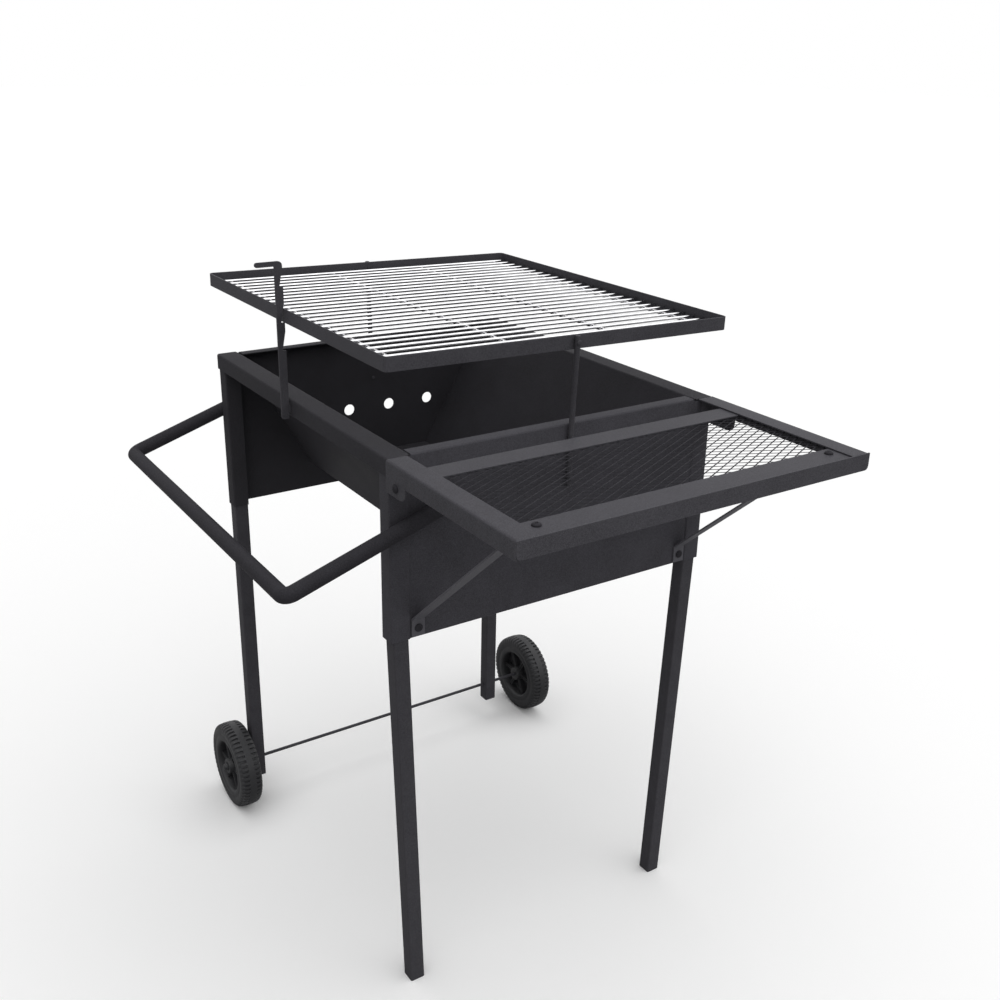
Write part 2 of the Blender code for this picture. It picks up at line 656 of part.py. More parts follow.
def table_mesh():
    """Expanded sheet: diamonds that share their strands, with plain half diamonds along the edges."""
    low = Vector((TABLE_SHEET + GAP, -TABLE_REACH + FRONT_RAIL_WIDTH - MESH_LAP))
    high = Vector((BOX_WIDTH - TABLE_SHEET - GAP, -INNER_RAIL_GAP - TABLE_SHEET - BEND))
    columns = round((high.x - low.x) / MESH_LONG_WAY)
    rows = round((high.y - low.y) / MESH_SHORT_WAY)
    step = Vector(((high.x - low.x) / columns / 2, (high.y - low.y) / rows / 2))
    shrink = 1 - STRAND / 2 * step.length / (step.x * step.y)
    bottom = -TABLE_SHEET * 2 - GAP * 2 - MESH_SHEET
    mesh = bmesh.new()
    for i in range(2 * columns + 1):
        for j in range(2 * rows + 1):
            if (i + j) % 2:
                continue
            centre = Vector((low.x + i * step.x, low.y + j * step.y))
            corners = [Vector((step.x, 0)), Vector((0, step.y)), Vector((-step.x, 0)), Vector((0, -step.y))]
            inside = 0 < i < 2 * columns and 0 < j < 2 * rows
            if inside:
                outer = [mesh.verts.new((*(centre + c), bottom)) for c in corners]
                hole = [mesh.verts.new((*(centre + c * shrink), bottom)) for c in corners]
                for k in range(4):
                    mesh.faces.new((outer[k], outer[(k + 1) % 4], hole[(k + 1) % 4], hole[k]))
                continue
            points = [centre + c for c in corners]
            kept = [p for p in points if low.x - MERGE < p.x < high.x + MERGE and
                    low.y - MERGE < p.y < high.y + MERGE]
            if len(kept) == 2:
                kept.append(centre)
            mesh.faces.new([mesh.verts.new((*p, bottom)) for p in kept])
    bmesh.ops.remove_doubles(mesh, verts=mesh.verts, dist=MERGE)
    bmesh.ops.recalc_face_normals(mesh, faces=mesh.faces)
    grown = bmesh.ops.extrude_face_region(mesh, geom=mesh.faces[:])
    lifted = [item for item in grown["geom"] if isinstance(item, bmesh.types.BMVert)]
    bmesh.ops.translate(mesh, verts=lifted, vec=(0, 0, MESH_SHEET))
    part = new_part("table_mesh", mesh, BLACK_PAINT)
    part.location = (0, 0, RIM_HEIGHT)


def stay(x, name):
    """A flat strap from the panel's foot to the front rail, bent flat at both ends."""
    face = JOGGLE - GAP - STAY_SHEET
    under_rail = -TABLE_SHEET * 2 - GAP * 2
    top_inner = -STAY_TOP_BOLT + STAY_TOP_LENGTH / 2
    path = [(face, -STAY_FOOT_DROP), (face, -STAY_FOOT_DROP + STAY_FOOT_LENGTH),
            (top_inner, under_rail - STAY_SHEET), (top_inner - STAY_TOP_LENGTH, under_rail - STAY_SHEET)]
    part = prism(name, folded(path, STAY_SHEET, bend=STAY_BEND, steps=3), "YZ", x - STAY_WIDTH / 2,
                 x + STAY_WIDTH / 2, BLACK_PAINT)
    drill(part, "Y", (x, STAY_FOOT_LENGTH / 2 - STAY_FOOT_DROP), HOLE_RADIUS)
    drill(part, "Z", (x, -STAY_TOP_BOLT), HOLE_RADIUS)
    part.location = (0, 0, RIM_HEIGHT)


def side_table():
    table_arm(1, "table_arm_left")
    table_arm(-1, "table_arm_right")
    table_lug(1, "table_lug_left")
    table_lug(-1, "table_lug_right")
    table_rails()
    table_mesh()
    for side, name in ((1, "left"), (-1, "right")):
        x = STAY_INSET if side > 0 else BOX_WIDTH - STAY_INSET
        stay(x, "stay_" + name)
        grip = STAY_SHEET + GAP + TABLE_SHEET
        part = fastener("stay_top_bolt_" + name, "Z", 0, grip, BOLT_HEAD, BOLT_NUT)
        part.data.transform(Matrix.Rotation(math.pi, 4, "X"))
        part.location = (x, -STAY_TOP_BOLT, RIM_HEIGHT - TABLE_SHEET - GAP)
        face = JOGGLE - GAP - STAY_SHEET
        part = fastener("stay_foot_bolt_" + name, "Y", 0, STAY_SHEET + GAP + SHEET, BOLT_HEAD, BOLT_NUT)
        part.location = (x, face, RIM_HEIGHT + STAY_FOOT_LENGTH / 2 - STAY_FOOT_DROP)
        part = fastener("table_bolt_" + name, "X", 0, 2 * TABLE_SHEET + GAP, BOLT_HEAD, BOLT_NUT)
        edge = -TABLE_OVERHANG
        if side < 0:
            mirror_in_x(part)
            edge = BOX_WIDTH + TABLE_OVERHANG
        part.location = (edge, -EAR_BOLT_REACH, RIM_HEIGHT - EAR_BOLT_DROP)


# Posts, the tilting frame and its grate

def posts():
    """Round bars, riveted flat to the panels and bent outwards at the rim to stand clear of the frame."""
    top = PIVOT_RISE + PIVOT_BELOW_TOP
    splay = math.tan(POST_SPLAY)
    for side, name in ((1, "front"), (-1, "back")):
        y = -POST_STANDOFF if side > 0 else BOX_DEPTH + POST_STANDOFF
        profile = [(0, -POST_DROP), (POST_RADIUS, -POST_DROP), (POST_RADIUS, 0),
                   (POST_RADIUS, top - POST_CHAMFER), (POST_RADIUS - POST_CHAMFER, top), (0, top)]
        post = turned("post_" + name, profile, "Z", HOLE_SIDES, BLACK_PAINT, turn=math.pi / HOLE_SIDES)
        for vertex in post.data.vertices:
            vertex.co.y -= side * max(vertex.co.z, 0) * splay
        for height in [-drop for drop in POST_RIVET_DROPS] + [PIVOT_RISE]:
            drill(post, "Y", (0, height), RIVET_HOLE_RADIUS)
        round_over(post)
        post.location = (PIVOT_X, y, RIM_HEIGHT)
        face = y - side * POST_RADIUS
        run = PIVOT_RISE * splay
        joint = fastener("pivot_rivet_" + name, "Y", 0, 2 * POST_RADIUS + GAP + run - POST_RUN + FRAME_SHEET,
                         RIVET_HEAD, RIVET_TAIL)
        rivets = [(joint, PIVOT_RISE, run)]
        for drop, place in zip(POST_RIVET_DROPS, ("upper", "lower")):
            rivet = fastener(f"post_rivet_{name}_{place}", "Y", 0, 2 * POST_RADIUS + GAP + JOGGLE + SHEET,
                             RIVET_HEAD, RIVET_TAIL)
            rivets.append((rivet, -drop, 0))
        for rivet, height, out in rivets:
            rivet.rotation_euler = (0, 0, 0 if side > 0 else math.pi)
            rivet.location = (PIVOT_X, face - side * out, RIM_HEIGHT + height)


def grid_frame():
    """A rectangle of angle with round corners, whose upright flange is outside and whose ledge is below."""
    section = [(0, 0), (FRAME_LEDGE, 0), (FRAME_LEDGE, FRAME_SHEET), (FRAME_SHEET, FRAME_SHEET),
               (FRAME_SHEET, FRAME_HEIGHT), (0, FRAME_HEIGHT)]
    rise = PIVOT_BELOW_TOP - FRAME_HEIGHT
    mesh = bmesh.new()
    rings = []
    for quarter, (across, along) in enumerate(((1, 1), (-1, 1), (-1, -1), (1, -1))):
        for step in range(FRAME_CORNER_STEPS + 1):
            angle = (quarter + step / FRAME_CORNER_STEPS) * math.pi / 2
            ring = []
            for inset, height in section:
                radius = max(FRAME_CORNER - inset, 0)
                centre = max(FRAME_CORNER, inset)
                x = FRAME_OFFSET + across * (FRAME_WIDTH / 2 - centre) + radius * math.cos(angle)
                y = along * (FRAME_DEPTH / 2 - centre) + radius * math.sin(angle)
                ring.append(mesh.verts.new((x, y, rise + height)))
            rings.append(ring)
    for i, near in enumerate(rings):
        far = rings[(i + 1) % len(rings)]
        for k in range(len(section)):
            j = (k + 1) % len(section)
            mesh.faces.new((near[k], near[j], far[j], far[k]))
    bmesh.ops.remove_doubles(mesh, verts=mesh.verts, dist=MERGE)
    part = new_part("grid_frame", mesh, BLACK_PAINT)
    drill(part, "Y", (0, 0), RIVET_HOLE_RADIUS, FRAME_DEPTH)
    round_over(part)
    part.location = (PIVOT_X, BOX_DEPTH / 2, RIM_HEIGHT + PIVOT_RISE)
    part.rotation_euler = (0, TILT, 0)
    return part


def grate(frame):
    """Bright rods across, welded onto four cross rods that lie on the frame's ledges."""
    rest = PIVOT_BELOW_TOP - FRAME_HEIGHT + FRAME_SHEET + GAP
    half_length = FRAME_DEPTH / 2 - FRAME_SHEET - ROD_END_GAP
    flat = math.cos(math.pi / ROD_SIDES)
    cross_centre = rest + CROSS_ROD_RADIUS * flat
    part = None
    for share in CROSS_ROD_SHARES:
        x = (share - 0.5) * FRAME_WIDTH
        profile = [(0, -half_length), (CROSS_ROD_RADIUS, -half_length), (CROSS_ROD_RADIUS, half_length),
                   (0, half_length)]
        rod = turned("grate", profile, "Y", ROD_SIDES, BRIGHT_STEEL)
        rod.data.transform(Matrix.Translation((x, 0, cross_centre)))
        if part is None:
            part = rod
        else:
            rod.data.materials.clear()
            combine(part, rod, "UNION")
    rod_centre = cross_centre + CROSS_ROD_RADIUS * flat + ROD_RADIUS * flat - WELD_SINK
    half_width = FRAME_WIDTH / 2 - FRAME_SHEET - ROD_END_GAP
    reach = FRAME_DEPTH / 2 - FRAME_SHEET - ROD_MARGIN
    rods = bmesh.new()
    angles = [2 * math.pi * i / ROD_SIDES for i in range(ROD_SIDES)]
    spaces = round(2 * reach / ROD_PITCH)
    for k in range(spaces + 1):
        y = -reach + 2 * reach * k / spaces
        ends = []
        for x in (FRAME_OFFSET - half_width, FRAME_OFFSET + half_width):
            ends.append([rods.verts.new((x, y + ROD_RADIUS * math.cos(angle),
                                         rod_centre + ROD_RADIUS * math.sin(angle))) for angle in angles])
        rods.faces.new(ends[0])
        rods.faces.new(ends[1])
        for i in range(ROD_SIDES):
            j = (i + 1) % ROD_SIDES
            rods.faces.new((ends[0][i], ends[0][j], ends[1][j], ends[1][i]))
    combine(part, new_part("rods", rods, None), "UNION")
    round_over(part, math.radians(65))
    part.parent = frame


# Toothed prop: a plate hooked in the left skirt, whose ledges carry the frame

def prop():
    corner = Vector((-FRAME_WIDTH / 2 + FRAME_OFFSET, PIVOT_BELOW_TOP - FRAME_HEIGHT))
    lifted = Matrix.Rotation(-TILT, 2) @ corner
    seat_x = PIVOT_X + lifted.x
    ledge = PIVOT_RISE + lifted.y - GAP
    edge = seat_x + PROP_LEDGE_OVERLAP
    outer = edge - PROP_WIDTH
    notch = edge - PROP_TOOTH
    slot_top = -PROP_HOLE_DROP - PROP_HOLE_RADIUS + GAP
    slot_inner = SHEET + HOOK_PLAY
    bridge_top = -PROP_HOLE_DROP + PROP_HOLE_RADIUS - HOOK_TOP_PLAY
    tip = HOOK_SHORT - HOOK_END_DROP
    hook_inner = slot_inner + HOOK_LEG
    points = [(outer, -HOOK_END_DROP), (-HOOK_PLAY, -HOOK_END_DROP), (-HOOK_PLAY, slot_top),
              (slot_inner, slot_top), (slot_inner, tip), (hook_inner, tip), (hook_inner, bridge_top),
              (edge, bridge_top)]
    radii = [PROP_FOOT_ROUND, PROP_EDGE_ROUND, 0, 0, 0, PROP_EDGE_ROUND, PROP_EDGE_ROUND, 0]
    for rise in PROP_LEDGES:
        height = ledge + rise
        points += [(edge, height), (notch, height), (edge, height + PROP_SLOPE)]
        radii += [0, 0, 0]
    points += [(edge, PROP_TOP), (outer - FINGER_LENGTH, PROP_TOP),
               (outer - FINGER_LENGTH, PROP_TOP - FINGER_THICKNESS), (outer, PROP_TOP - FINGER_THICKNESS)]
    end_round = FINGER_THICKNESS * 0.49
    radii += [PROP_HEEL_ROUND, end_round, end_round, PROP_EDGE_ROUND]
    pivot = Vector((SHEET / 2, slot_top - GAP))
    outline = [Vector(p) - pivot for p in rounded(points, radii, 3)]
    part = prism("prop", outline, "XZ", -PROP_SHEET / 2, PROP_SHEET / 2, BLACK_PAINT)
    part.location = (pivot.x, PROP_PLACE, RIM_HEIGHT + pivot.y)


def set_on_floor():
    """Put the middle of the bounding box on the floor at the origin."""
    bpy.context.view_layer.update()
    graph = bpy.context.evaluated_depsgraph_get()
    points = []
    for part in bpy.data.objects:
        if part.type == "MESH":
            seen = part.evaluated_get(graph)
            points += [seen.matrix_world @ vertex.co for vertex in seen.data.vertices]
    low = [min(point[i] for point in points) for i in range(3)]
    high = [max(point[i] for point in points) for i in range(3)]
    root.location = (-(low[0] + high[0]) / 2, -(low[1] + high[1]) / 2, -low[2])


firebox_trough()
front_panel()
back_panel()
legs()
running_gear()
handle()
side_table()
posts()
grate(grid_frame())
prop()
set_on_floor()
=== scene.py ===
"""A free-standing charcoal grill of folded and painted sheet steel, in the order it is put together.

Metres, +Z up: +X to the right of someone at the side table, +Y from the side table to the wheels.
"""

import json
import math
import random

import bmesh
import bpy
from mathutils import Matrix, Vector


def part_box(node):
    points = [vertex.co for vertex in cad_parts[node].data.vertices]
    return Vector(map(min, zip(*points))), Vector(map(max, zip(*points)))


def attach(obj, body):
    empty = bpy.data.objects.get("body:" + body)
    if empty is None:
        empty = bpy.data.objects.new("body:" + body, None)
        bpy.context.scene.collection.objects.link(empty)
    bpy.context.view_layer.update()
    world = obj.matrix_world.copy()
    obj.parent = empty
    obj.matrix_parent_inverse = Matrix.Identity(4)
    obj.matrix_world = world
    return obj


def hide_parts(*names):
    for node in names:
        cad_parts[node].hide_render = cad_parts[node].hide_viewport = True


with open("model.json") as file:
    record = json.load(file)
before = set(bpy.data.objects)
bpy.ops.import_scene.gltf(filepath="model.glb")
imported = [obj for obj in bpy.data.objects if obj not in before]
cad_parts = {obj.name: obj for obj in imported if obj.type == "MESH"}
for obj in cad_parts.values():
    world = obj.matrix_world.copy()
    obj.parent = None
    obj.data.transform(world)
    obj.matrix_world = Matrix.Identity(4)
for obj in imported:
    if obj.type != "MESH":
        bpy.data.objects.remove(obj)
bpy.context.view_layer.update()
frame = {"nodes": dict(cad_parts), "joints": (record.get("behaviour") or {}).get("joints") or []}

# Firebox
# A trough and two panels of 1.5 mm sheet steel, cut, folded on a press brake and spot welded, then
# sprayed inside and out with heat-proof silicone paint and stoved. Everything else is hung on it.


def linear(code):
    """An sRGB hex colour as the linear colour that a socket takes."""
    parts = [int(code[i:i + 2], 16) / 255 for i in (1, 3, 5)]
    return (*[c / 12.92 if c <= 0.04045 else ((c + 0.055) / 1.055) ** 2.4 for c in parts], 1.0)


def add(tree, kind, settings=None, **attributes):
    """Add a node. Its settings give an input, by name or number, a value or the output that feeds it."""
    made = tree.nodes.new(kind)
    for name, value in attributes.items():
        setattr(made, name, value)
    for socket, value in (settings or {}).items():
        if isinstance(value, bpy.types.NodeSocket):
            tree.links.new(value, made.inputs[socket])
        else:
            made.inputs[socket].default_value = value
    return made


def stoved_paint(name, shade, thick, rubbed, cloud_size, gloss):
    """Sprayed and stoved silicone paint: near black, satin, with a dry fine grain that breaks up its
    highlights, faint clouds where the spray overlapped, and edges painted paler, partly as wear from
    handling and partly as a painted highlight."""
    paint = bpy.data.materials.new(name)
    paint.use_nodes = True
    tree = paint.node_tree
    tree.nodes.clear()
    place = add(tree, "ShaderNodeTexCoord").outputs["Object"]
    # The real grain is about 0.2 mm, too fine to show, so it is drawn at 1.1 mm
    grain_size, peel_size, edge_patch_size, rubbed_radius = 0.0011, 0.006, 0.02, 0.0009
    grain = add(tree, "ShaderNodeTexNoise", {"Vector": place, "Scale": 1 / grain_size, "Detail": 2.0})
    peel = add(tree, "ShaderNodeTexNoise", {"Vector": place, "Scale": 1 / peel_size, "Detail": 1.0})
    cloud = add(tree, "ShaderNodeTexNoise", {"Vector": place, "Scale": 1 / cloud_size, "Detail": 4.0,
                                             "Roughness": 0.6, "Distortion": 0.4})
    cloudy = add(tree, "ShaderNodeMapRange", {"Value": cloud.outputs["Fac"],
                                              "From Min": 0.32, "From Max": 0.68})
    speckle = add(tree, "ShaderNodeMapRange", {"Value": grain.outputs["Fac"],
                                               "From Min": 0.3, "From Max": 0.7})
    body = add(tree, "ShaderNodeMix", {0: cloudy.outputs[0], 6: linear(shade), 7: linear(thick)},
               data_type="RGBA")
    # The grain shows 40% of the rubbed shade on its tips
    speckled = add(tree, "ShaderNodeMath", {0: speckle.outputs[0], 1: 0.40}, operation="MULTIPLY")
    grainy = add(tree, "ShaderNodeMix", {0: speckled.outputs[0], 6: body.outputs[2], 7: linear(rubbed)},
                 data_type="RGBA")
    # Edges are where the surface would turn if it were rounded by a millimetre
    rounding = add(tree, "ShaderNodeBevel", {"Radius": rubbed_radius}, samples=4)
    flat = add(tree, "ShaderNodeNewGeometry")
    turning = add(tree, "ShaderNodeVectorMath", {0: rounding.outputs[0], 1: flat.outputs["Normal"]},
                  operation="DOT_PRODUCT")
    edge = add(tree, "ShaderNodeMapRange", {"Value": turning.outputs["Value"],
                                            "From Min": 0.995, "From Max": 0.85})
    patchy = add(tree, "ShaderNodeTexNoise", {"Vector": place, "Scale": 1 / edge_patch_size, "Detail": 3.0})
    edge_patches = add(tree, "ShaderNodeMapRange", {"Value": patchy.outputs["Fac"],
                                            "From Min": 0.38, "From Max": 0.62,
                                            "To Min": 0.15, "To Max": 0.75})
    # Along the edges the pale shade is painted in, partly as rubbed wear and partly as a painted
    # highlight
    rub_and_edge_highlight = add(tree, "ShaderNodeMath", {0: edge.outputs[0], 1: edge_patches.outputs[0]}, operation="MULTIPLY")
    colour = add(tree, "ShaderNodeMix", {0: rub_and_edge_highlight.outputs[0], 6: grainy.outputs[2], 7: linear(rubbed)},
                 data_type="RGBA")
    roughness = add(tree, "ShaderNodeMapRange", {"Value": cloud.outputs["Fac"],
                                                 "From Min": 0.3, "From Max": 0.7,
                                                 "To Min": gloss - 0.04, "To Max": gloss + 0.06})
    smoother = add(tree, "ShaderNodeMath", {0: rub_and_edge_highlight.outputs[0], 1: -0.12, 2: roughness.outputs[0]},
                   operation="MULTIPLY_ADD")
    height = add(tree, "ShaderNodeMath", {0: peel.outputs["Fac"], 1: 1.6, 2: grain.outputs["Fac"]},
                 operation="MULTIPLY_ADD")
    bump = add(tree, "ShaderNodeBump", {"Strength": 0.35, "Distance": 0.00012,
                                        "Height": height.outputs[0]})
    # So rough a coat hardly shines, which the low specular level stands for
    shader = add(tree, "ShaderNodeBsdfPrincipled", {"Base Color": colour.outputs[2],
                                                    "Roughness": smoother.outputs[0],
                                                    "Specular IOR Level": 0.04,
                                                    "Normal": bump.outputs[0]})
    add(tree, "ShaderNodeOutputMaterial", {"Surface": shader.outputs[0]})
    return paint


# On the front panel the coat is even and painted a little paler: painted light on the panel's face under
# the table
painted_light_sheet_paint = stoved_paint("stoved_silicone_paint_on_sheet_painted_light", "#39383c", "#424146", "#636268", 0.06, 0.52)
# On the trough and the back panel it is painted darker and duller: painted shade for the inside of the
# firebox
painted_shade_inside_paint = stoved_paint("stoved_silicone_paint_in_the_firebox_painted_shade", "#2c2b2e", "#333236", "#4e4d51",
                            0.08, 0.60)

# Folds under 50 degrees are shaded as round bends, and sharper ones stay creased
crease = math.radians(50)
bends = bpy.data.node_groups.new("smooth_bends", "GeometryNodeTree")
bends.interface.new_socket("Geometry", in_out="INPUT", socket_type="NodeSocketGeometry")
bends.interface.new_socket("Geometry", in_out="OUTPUT", socket_type="NodeSocketGeometry")
given = add(bends, "NodeGroupInput")
joined = add(bends, "GeometryNodeMergeByDistance", {"Geometry": given.outputs[0], "Distance": 0.00001})
plain = add(bends, "GeometryNodeRemoveAttribute", {"Geometry": joined.outputs[0],
                                                   "Name": "custom_normal"})
smooth = add(bends, "GeometryNodeSetShadeSmooth", {"Geometry": plain.outputs[0], "Shade Smooth": True},
             domain="FACE")
fold = add(bends, "GeometryNodeInputMeshEdgeAngle")
sharp = add(bends, "FunctionNodeCompare", {0: fold.outputs[0], 1: crease}, operation="GREATER_THAN")
creased = add(bends, "GeometryNodeSetShadeSmooth", {"Geometry": smooth.outputs[0],
                                                    "Selection": sharp.outputs[0],
                                                    "Shade Smooth": False}, domain="EDGE")
add(bends, "NodeGroupOutput", {0: creased.outputs[0]})


def finish_node(node, finish, edge=0.0004):
    """Give a CAD piece its finish, its cut edges a hair's rounding and its bends a smooth sweep."""
    piece = frame["nodes"][node]
    for place in piece.material_slots:
        place.material = finish
    piece.modifiers.new("bends", "NODES").node_group = bends
    if edge:
        rounding = piece.modifiers.new("edges", "BEVEL")
        rounding.width = edge
        rounding.segments = 2
        rounding.limit_method = "ANGLE"
        rounding.angle_limit = crease
    piece.modifiers.new("shading", "WEIGHTED_NORMAL").keep_sharp = True


finish_node("firebox_trough", painted_shade_inside_paint)
finish_node("front_panel", painted_light_sheet_paint)
finish_node("back_panel", painted_shade_inside_paint)

trough_low, trough_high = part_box("firebox_trough")
panel_gap = 0.0003  # between the trough's ends and the panels
corner = Vector((trough_low.x, trough_low.y - panel_gap, trough_high.z))  # front left corner at the rim
box_depth = trough_high.y - trough_low.y + 2 * panel_gap

# Legs
# Four 24 mm square tubes with 1.5 mm walls, sawn square, pushed up into the sockets that the panels'
# ends are folded into. They are sprayed and stoved like the firebox.

# On smooth drawn tube the same paint lies closer, with smaller clouds and a little more sheen
tube_paint = stoved_paint("stoved_silicone_paint_on_tube", "#3b3a3e", "#424145", "#605f64", 0.03, 0.50)
for leg in ("leg_front_left", "leg_front_right", "leg_back_left", "leg_back_right"):
    finish_node(leg, tube_paint, edge=0.0003)

# Wheels, axle and caps
# Each wheel is one black polypropylene moulding, 162 x 41 mm, with a smooth middle rib, cross lugs on
# both shoulders and a dished, spoked face. They run on a 6 mm rod held by two push-on caps.


def moulded_plastic(name, shade, rubbed, grain_size):
    """Injection-moulded polypropylene: dull black with a fine spark-eroded texture, faint flow clouds
    and proud corners rubbed paler."""
    plastic = bpy.data.materials.new(name)
    plastic.use_nodes = True
    tree = plastic.node_tree
    tree.nodes.clear()
    place = add(tree, "ShaderNodeTexCoord").outputs["Object"]
    # The mould's texture is about 0.1 mm, too fine to show, so it is drawn at 0.8 mm
    fine = add(tree, "ShaderNodeTexNoise", {"Vector": place, "Scale": 1 / grain_size, "Detail": 2.0})
    flow_size, rubbed_radius = 0.025, 0.0008
    flow = add(tree, "ShaderNodeTexNoise", {"Vector": place, "Scale": 1 / flow_size, "Detail": 3.0,
                                            "Distortion": 1.2})
    rounding = add(tree, "ShaderNodeBevel", {"Radius": rubbed_radius}, samples=4)
    flat = add(tree, "ShaderNodeNewGeometry")
    turning = add(tree, "ShaderNodeVectorMath", {0: rounding.outputs[0], 1: flat.outputs["Normal"]},
                  operation="DOT_PRODUCT")
    edge = add(tree, "ShaderNodeMapRange", {"Value": turning.outputs["Value"], "From Min": 0.995,
                                            "From Max": 0.85, "To Max": 0.55})
    cloudy = add(tree, "ShaderNodeMath", {0: flow.outputs["Fac"], 1: 0.30, 2: edge.outputs[0]},
                 operation="MULTIPLY_ADD", use_clamp=True)
    colour = add(tree, "ShaderNodeMix", {0: cloudy.outputs[0], 6: linear(shade), 7: linear(rubbed)},
                 data_type="RGBA")
    roughness = add(tree, "ShaderNodeMapRange", {"Value": flow.outputs["Fac"],
                                                 "From Min": 0.3, "From Max": 0.7,
                                                 "To Min": 0.46, "To Max": 0.6})
    bump = add(tree, "ShaderNodeBump", {"Strength": 0.3, "Distance": 0.0001,
                                        "Height": fine.outputs["Fac"]})
    shader = add(tree, "ShaderNodeBsdfPrincipled", {"Base Color": colour.outputs[2],
                                                    "Roughness": roughness.outputs[0], "IOR": 1.49,
                                                    "Specular IOR Level": 0.35,
                                                    "Normal": bump.outputs[0]})
    add(tree, "ShaderNodeOutputMaterial", {"Surface": shader.outputs[0]})
    return plastic


# A neutral black with no blue in it, which sets the wheels apart from the paint
wheel_plastic = moulded_plastic("moulded_polypropylene", "#242426", "#47474a", 0.0008)


def new_piece(name, mesh, body, finish, nodes, smooth_below=40):
    """An object made of a bmesh, which rides on its body and stands for its CAD nodes."""
    bmesh.ops.recalc_face_normals(mesh, faces=mesh.faces)
    data = bpy.data.meshes.new(name)
    mesh.to_mesh(data)
    mesh.free()
    piece = bpy.data.objects.new(name, data)
    bpy.context.scene.collection.objects.link(piece)
    data.shade_smooth()
    data.set_sharp_from_angle(angle=math.radians(smooth_below))
    data.materials.append(finish)
    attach(piece, body)
    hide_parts(*nodes)
    return piece


def lathe(mesh, profile, sides, place):
    """Turn a profile of (radius, along) points round the place's Z; a radius of 0 closes an end."""
    rings = []
    for radius, along in profile:
        if radius == 0:
            rings.append([mesh.verts.new(place @ Vector((0, 0, along)))])
            continue
        ring = []
        for k in range(sides):
            angle = 2 * math.pi * k / sides
            around = Vector((radius * math.cos(angle), radius * math.sin(angle), along))
            ring.append(mesh.verts.new(place @ around))
        rings.append(ring)
    for near, far in zip(rings, rings[1:]):
        for k in range(sides):
            j = k + 1
            corners = (near[k % len(near)], near[j % len(near)], far[j % len(far)], far[k % len(far)])
            mesh.faces.new(list(dict.fromkeys(corners)))


def bar(mesh, corners, depth):
    """A bar from four corners in a plane, thickened both ways along a direction."""
    near = [mesh.verts.new(Vector(point) - depth) for point in corners]
    far = [mesh.verts.new(Vector(point) + depth) for point in corners]
    mesh.faces.new(near)
    mesh.faces.new(far)
    for i in range(4):
        j = (i + 1) % 4
        mesh.faces.new((near[i], near[j], far[j], far[i]))


lugs = 54
lug_corners = (0.0, 0.46, 0.58, 0.88)  # shares of a lug's pitch: two on its top, two in the groove
# Half the wheel's section, from the rib to the dish's floor: distance from the middle, radius on a lug,
# radius in a groove
section = ((0.0000, 0.0810, 0.0810), (0.0058, 0.0810, 0.0810), (0.0063, 0.0808, 0.0798),
           (0.0070, 0.0806, 0.0776), (0.0110, 0.0803, 0.0770), (0.0145, 0.0798, 0.0766),
           (0.0172, 0.0784, 0.0756), (0.0190, 0.0762, 0.0742), (0.0200, 0.0734, 0.0724),
           (0.0205, 0.0700, 0.0698), (0.0204, 0.0640, 0.0640), (0.0197, 0.0620, 0.0620),
           (0.0195, 0.0590, 0.0590), (0.0200, 0.0580, 0.0580), (0.0201, 0.0520, 0.0520),
           (0.0195, 0.0500, 0.0500), (0.0180, 0.0482, 0.0482), (0.0150, 0.0472, 0.0472),
           (0.0080, 0.0464, 0.0464), (0.0030, 0.0458, 0.0458), (0.0018, 0.0446, 0.0446),
           (0.0018, 0.0165, 0.0165), (0.0026, 0.0150, 0.0150), (0.0188, 0.0141, 0.0141),
           (0.0202, 0.0132, 0.0132), (0.0205, 0.0115, 0.0115), (0.0205, 0.0050, 0.0050),
           (0.0200, 0.0036, 0.0036), (0.0000, 0.0034, 0.0034))
# Each spoke is a web between two ribs: across the spoke, half thickness, height over the dish's floor
spoke_parts = ((-0.0022, 0.0008, 0.0128), (0.0022, 0.0008, 0.0128), (0.0, 0.0020, 0.0098))
spokes, dish_floor, hub_radius, dish_radius = 6, 0.0010, 0.0128, 0.0466
for side in ("left", "right"):
    low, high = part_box("wheel_" + side)
    middle = (low + high) / 2
    mesh = bmesh.new()
    outline = [section[-1]] + [(x, top, groove) for x, top, groove in reversed(section[1:-1])]
    outline += [(-x, top, groove) for x, top, groove in section[:-1]]
    rings = []
    for x, top, groove in outline:
        ring = []
        for k in range(4 * lugs):
            angle = 2 * math.pi * (k // 4 + lug_corners[k % 4]) / lugs + 0.02
            radius = top if k % 4 < 2 else groove
            around = Vector((x, radius * math.cos(angle), radius * math.sin(angle)))
            ring.append(mesh.verts.new(middle + around))
        rings.append(ring)
    for near, far in zip(rings, rings[1:] + rings[:1]):
        for k in range(4 * lugs):
            j = (k + 1) % (4 * lugs)
            mesh.faces.new((near[k], near[j], far[j], far[k]))
    for spoke in range(spokes):
        turned = Matrix.Rotation(math.radians(360 / spokes * spoke + 2), 4, "X")
        turn = Matrix.Translation(middle) @ turned
        for face in (-1, 1):
            root = dish_floor * face
            for across, width, rise in spoke_parts:
                top = rise * face
                points = [(root, hub_radius, across), (top, hub_radius, across),
                          (top, dish_radius, across), (root, dish_radius, across)]
                bar(mesh, [turn @ Vector(point) for point in points],
                    turn.to_3x3() @ Vector((0, 0, width)))
    new_piece("moulded_wheel_" + side, mesh, "wheel_" + side, wheel_plastic,
              ["wheel_" + side], 32)

finish_node("axle", tube_paint, edge=0)
